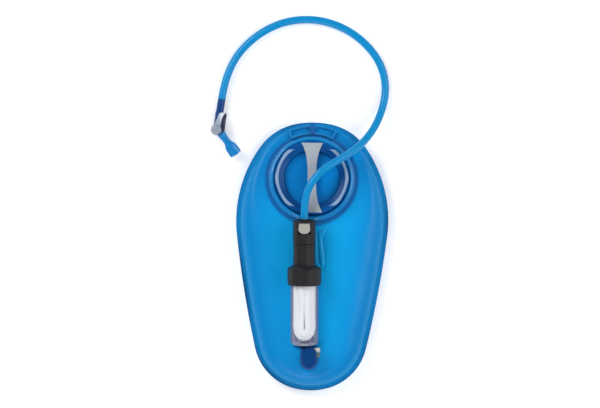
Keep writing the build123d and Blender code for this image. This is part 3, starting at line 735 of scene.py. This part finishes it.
bundle = {
    "radius": 12.7,
    "strand": 0.95,          # half a strand's width
    "sides": 5,
    "spacing": 1.5,
    "legs": (80.0, 66.0, 52.0, 40.0, 30.0),   # places along the bowl at which a leg has a point
    "bend": 22.0,            # where the half ellipse starts, and how deep it is for its width
    "depth": 1.27,
    "gap": 0.55,             # spread of the innermost strands at the bend, gone by closed
    "closed": 44.0,
    "waver": (0.22, 0.28),   # sideways and in height
}


def makeFibres():
    # each strand goes down one side, round a half ellipse and up the other side; strands fill half a circle in rows
    rng = np.random.default_rng(7)
    step, radius, bend, sides = (bundle[key] for key in ("spacing", "radius", "bend", "sides"))
    i, j = np.meshgrid(np.arange(0, 10), np.arange(-10, 11), indexing="ij")
    x0 = (i * step + (j % 2) * step / 2 + step / 2).ravel()
    z0 = (j * step * 0.866).ravel()
    keep = np.hypot(x0, z0) < radius
    x0, z0 = x0[keep][:, None], z0[keep][:, None]
    legs = np.array(bundle["legs"])
    turn = np.linspace(0, math.pi, 7)
    bendX = bundle["gap"] + x0 * (radius - bundle["gap"]) / radius
    legX = x0 + (bendX - x0) * (1 - smoothStep(legs, bend, bundle["closed"]))[None]
    side = np.concatenate([legX, bendX * np.cos(turn), -legX[:, ::-1]], 1)
    length = np.concatenate([np.broadcast_to(legs, legX.shape), bend - bundle["depth"] * bendX * np.sin(turn),
                             np.broadcast_to(legs[::-1], legX.shape)], 1)
    strands, along = side.shape
    wave = rng.uniform(0, 2 * math.pi, (3, strands, 1))
    run = np.linspace(0, 9, along)[None]
    side = side + bundle["waver"][0] * np.sin(run * 1.3 + wave[0])
    high = z0 + bundle["waver"][1] * np.sin(run * 1.1 + wave[1])
    size = (bundle["strand"] * (1 + 0.12 * np.sin(run * 2.1 + wave[2])))[..., None]
    ahead = np.stack([np.gradient(side, axis=1), np.gradient(length, axis=1)], -1)
    ahead /= np.linalg.norm(ahead, axis=-1, keepdims=True)
    ring = np.arange(sides) * 2 * math.pi / sides
    points = filterPoint(side[..., None] - ahead[..., 1:2] * np.cos(ring) * size,
                         length[..., None] + ahead[..., 0:1] * np.cos(ring) * size,
                         high[..., None] + np.sin(ring) * size)
    first = np.arange(strands)[:, None] * along * sides
    faces = (gridQuads(along, sides, wrapCols=True)[None] + first[:, None]).reshape(-1, 4)
    ends = np.concatenate([first + np.arange(sides)[::-1], first + (along - 1) * sides + np.arange(sides)]).tolist()
    piece = meshPiece("fibres", points, faces, ends)
    closeUp(piece)
    addNumber(piece, "tone", np.repeat(rng.random(strands), along * sides))
    finish(piece, fibreMaterial(), "reservoir", "fibre_white", "fibre_bundle")


def fibreMaterial():
    # white, a little different from strand to strand, with painted shade that greys the gap between the legs, and a
    # faint painted glow
    sheet = Sheet("fibreWhite")
    fleck = sheet.noise(sheet.place(), 520.0, 2.0)
    tone = sheet.number("tone") * 0.6 + fleck * 0.6
    across, along = alongFilter(sheet)[:2]
    # painted shade in the narrow gap between the fibre bundle's legs
    gapShade = (1 - sheet.step(sheet.calc("ABSOLUTE", across), 0.0004, 0.0022)) * sheet.step(along, 0.017, 0.023)
    gapShade = gapShade * (1 - sheet.step(along, 0.032, 0.056))
    colour = sheet.mix(tone, paint(226, 226, 230), paint(250, 250, 250))
    colour = sheet.mix(gapShade, colour, paint(220, 220, 222))
    # painted glow: the strands give off a little light of their own colour, lifting their shade
    return sheet.surface(colour=colour, roughness=0.7, specular=0.2, glow=colour, glowStrength=0.1,
                         normal=sheet.bump(fleck, 0.0002, 0.5))


makeFibres()
print("fibres ready")

pads = {
    "inner": 39.8,
    "low": 15.95,
    "rise": 0.95,
    "reach": 60.0,             # degrees each way from the middle
    "width": (3.1, 1.0, 1.0),  # plain, and what the swellings at the middle and near both ends add
    "swellAt": 44.0,
    "widest": 4.1,
}


def makePads():
    # a low rounded strip along part of the rim, wider at its middle and near both ends, run out to nothing
    angle = np.radians(np.linspace(-pads["reach"], pads["reach"], 121))
    degrees = np.degrees(np.abs(angle))
    plain, middle, ends = pads["width"]
    width = plain + middle * np.exp(-(degrees / 10) ** 2) + ends * np.exp(-((degrees - pads["swellAt"]) / 9) ** 2)
    rounded = np.sqrt(np.clip(1 - (degrees / pads["reach"]) ** 14, 0, 1))
    taper = 1 - 0.9 * smoothStep(degrees, pads["reach"] - 10, pads["reach"])
    width = np.minimum(width, pads["widest"]) * rounded * taper + 0.02
    section = np.linspace(0, 2 * math.pi, 20, endpoint=False)
    across = 0.5 - 0.5 * np.sign(np.cos(section)) * np.abs(np.cos(section)) ** 0.5
    up = np.sign(np.sin(section)) * np.abs(np.sin(section)) ** 0.6
    radius = pads["inner"] + width[:, None] * across
    z = pads["low"] + pads["rise"] * np.clip(up, -0.2, 1) * np.clip(width / 1.5, 0.05, 1)[:, None]
    for name, facing in (("padRight", 0), ("padLeft", math.pi)):
        turn = angle[:, None] + facing
        rings = portPoint(radius * np.cos(turn), radius * np.sin(turn), z)
        finish(loft(name, rings), padLilac, "cap", "pad_lilac", "cap_grip_pads")


makePads()

lever = {
    "low": 13.6,
    # radius, height
    "hub": [(0, 16.9), (3, 16.75), (4.9, 16.1), (5.8, 15.2), (6.1, 14.2), (6.1, 13.6), (0, 13.6)],
    # the wing's two edges and the ridge between them, outwards from the pivot
    "left": [(1.5, 5.8), (4.6, 5.7), (11, 6.2), (16.5, 7.2), (19.3, 7.0), (21.6, 4.4), (23.3, 0.9)],
    "ridge": [(1.5, -0.5), (5.6, -1.9), (9.7, -0.4), (14.2, 1.1), (18.6, 1.7), (21.6, 1.4), (23.3, 0.7)],
    "right": [(1.5, -5.4), (3.4, -8.2), (5.0, -9.0), (8.6, -7.2), (14.0, -4.7), (21.3, -1.4), (23.3, 0.5)],
    # share of the way between edge and ridge, share of the height there, and 1 where the face takes painted shade
    "broadFace": [(0.0, 0.0, 0), (0.0, 0.30, 0), (0.12, 0.62, 0), (0.35, 0.84, 0), (0.65, 0.96, 0), (0.9, 1.0, 0),
                  (1.0, 0.985, 0.2)],
    "steepFace": [(0.05, 0.9, 1), (0.2, 0.62, 1), (0.5, 0.36, 1), (0.85, 0.22, 1), (1.0, 0.12, 1), (1.0, 0.0, 1)],
    "root": 14.9,
    "top": 17.6,
    "tipDrop": 1.2,
    "heading": 58.0,
}


def makeLever():
    # a wing with a broad face on one side of its ridge and a steep hollow one on the other, and a round hub
    t = np.linspace(0, 1, 46)
    lines = {}
    for side in ("left", "ridge", "right"):
        line = curveThrough(lever[side], 12)
        lines[side] = np.stack([np.interp(t, np.linspace(0, 1, len(line)), line[:, k]) for k in (0, 1)], -1)
    rise = lever["root"] + (lever["top"] - lever["root"]) * smoothStep(t, 0.05, 0.75)
    rise = rise - lever["tipDrop"] * smoothStep(t, 0.85, 1.0) - lever["low"]
    rows = []
    for face, start, end in (("broadFace", "left", "ridge"), ("steepFace", "ridge", "right")):
        for share, tall, dark in lever[face]:
            flat = lines[start] * (1 - share) + lines[end] * share
            rows.append(np.concatenate([flat, (lever["low"] + rise * tall)[:, None], np.full((len(t), 1), dark)], 1))
    wing = drawnIn(np.stack(rows, 1))
    wing[[0, -1], :, 3] = wing[[1, -2], :, 3]
    hub = curveThrough(lever["hub"], 3).clip(0, None)
    around = np.linspace(0, 2 * math.pi, 64, endpoint=False)
    tall = np.broadcast_to(hub[:, 1:], (len(hub), len(around)))
    disc = np.stack([hub[:, :1] * np.cos(around), hub[:, :1] * np.sin(around), tall, np.full(tall.shape, -1.0)], -1)
    both = np.concatenate([wing.reshape(-1, 4), disc.reshape(-1, 4)])
    way = np.radians(lever["heading"])
    x, y = both[:, 0] * np.cos(way) - both[:, 1] * np.sin(way), both[:, 0] * np.sin(way) + both[:, 1] * np.cos(way)
    points = np.stack([x, y, both[:, 2]], -1) * mm
    points[:, :2] += np.array(joints["shutoff_turn"]["pos_m"])[:2]
    quads = np.concatenate([gridQuads(*wing.shape[:2], wrapCols=True),
                            gridQuads(*disc.shape[:2], wrapCols=True) + wing.shape[0] * wing.shape[1]])
    piece = meshPiece("leverWing", points, quads)
    addNumber(piece, "shade", both[:, 3])
    closeUp(piece, 2e-6)
    finish(piece, leverMaterial(), "shutoff", "lever_grey", "shutoff_lever")


def leverMaterial():
    # grey hub, a wing with a painted highlight that grows paler the higher it stands, and painted shade on the steep
    # face
    sheet = Sheet("leverGrey")
    wingShade = sheet.number("shade")
    fine = sheet.noise(sheet.place(), 1300.0, 2.0)
    tall = sheet.split(sheet.place())[2]
    # painted highlight: the wing's grey lightens towards its top
    wingHighlight = sheet.mix(sheet.step(tall, 0.0150, 0.0176), paint(150, 164, 184), paint(214, 224, 240))
    # painted shade: the steep face of the wing is coloured dark
    colour = sheet.mix(sheet.step(wingShade, 0.2, 0.6), wingHighlight, paint(30, 30, 66))
    colour = sheet.mix(1 - sheet.step(wingShade, -0.6, -0.1), colour, paint(146, 156, 172))
    return sheet.surface(colour=colour, roughness=0.38 + fine * 0.08, coat=0.15,
                         normal=sheet.bump(fine, 0.00006, 0.5))


makeLever()

mouth = {
    # reach from the joint, half width, half height
    "rings": [(8.2, 5.1, 5.1), (9.2, 5.3, 5.2), (12, 4.75, 4.8), (17, 4.35, 4.6), (20.5, 4.5, 4.7),
              (23, 5.3, 4.9), (25.2, 6.4, 5.0), (27.2, 7.05, 4.9), (30, 7.25, 4.6), (34, 7.35, 4.0),
              (37.2, 7.4, 3.5), (38.1, 6.9, 3.1)],
    "slit": [(38.25, 6.2, 2.2), (38.15, 5.4, 0.9), (37.8, 5.2, 0.35), (35.8, 5.1, 0.25)],
    "bow": 0.9,   # how far the end's middle stands out past its corners
}


def makeMouthpiece():
    # ovals along the mouthpiece's axis, drawn through the given sizes; the end folds into a narrow slit
    sizes = np.vstack([curveThrough(mouth["rings"], 5), mouth["slit"]])
    around = np.linspace(0, 2 * math.pi, 72, endpoint=False)
    wide = sizes[:, 1:2] * np.cos(around)
    high = sizes[:, 2:3] * np.sin(around)
    bow = mouth["bow"] * smoothStep(sizes[:, :1], 30, 38) * (1 - (wide / 7.5) ** 2)
    reach = sizes[:, :1] + bow
    rings = mouthAt + mm * (reach[..., None] * mouthAlong + wide[..., None] * mouthFlat + high[..., None] * mouthUp)
    finish(loft("mouthpiece", rings), biteBlue, "mouthpiece", "bite_blue", "bite_valve")


makeMouthpiece()

springs = {
    # node: joint, first coil's centre, direction of the spring, height
    "outlet_button_spring": ("outlet_button_press", (5.7, -9, 0), (1, 0, 0), 3.4),
    "connector_button_spring": ("hose_button_press", (0, 137.5, 5.7), (0, 0, 1), 3.6),
}
springWire = {"coil": 1.6, "wire": 0.3, "turns": 4, "keep": 0.47}


def makeSpring(name, node):
    # a round wire along a helix: its section goes round a circle while it climbs
    joint, start, way, height = springs[node]
    start, way = np.array(start, float), np.array(way, float)
    centre = filterPoint(*start)
    upward = filterPoint(*(start + way)) - centre
    sideways = filterPoint(*(start + np.array([0, 1, 0]))) - centre
    across = np.cross(upward, sideways)
    across *= mm / np.linalg.norm(across)
    t = np.linspace(0, 1, springWire["turns"] * 24 + 1)[:, None]
    turn = t * springWire["turns"] * 2 * math.pi
    section = np.linspace(0, 2 * math.pi, 8, endpoint=False)[None]
    reach = (springWire["coil"] + springWire["wire"] * np.cos(section))[..., None]
    climb = (height * t + springWire["wire"] * np.sin(section))[..., None]
    outwards = sideways * np.cos(turn)[..., None] + across * np.sin(turn)[..., None]
    piece = loft(name, centre + outwards * reach + upward * climb)
    finish(piece, springSteel, "reservoir", "spring_steel", node)
    foot = centre - upward * springWire["wire"]
    tuple(upward / mm)
    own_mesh(piece)


makeSpring("outletSpring", "outlet_button_spring")
makeSpring("couplingSpring", "connector_button_spring")
print("small pieces ready")
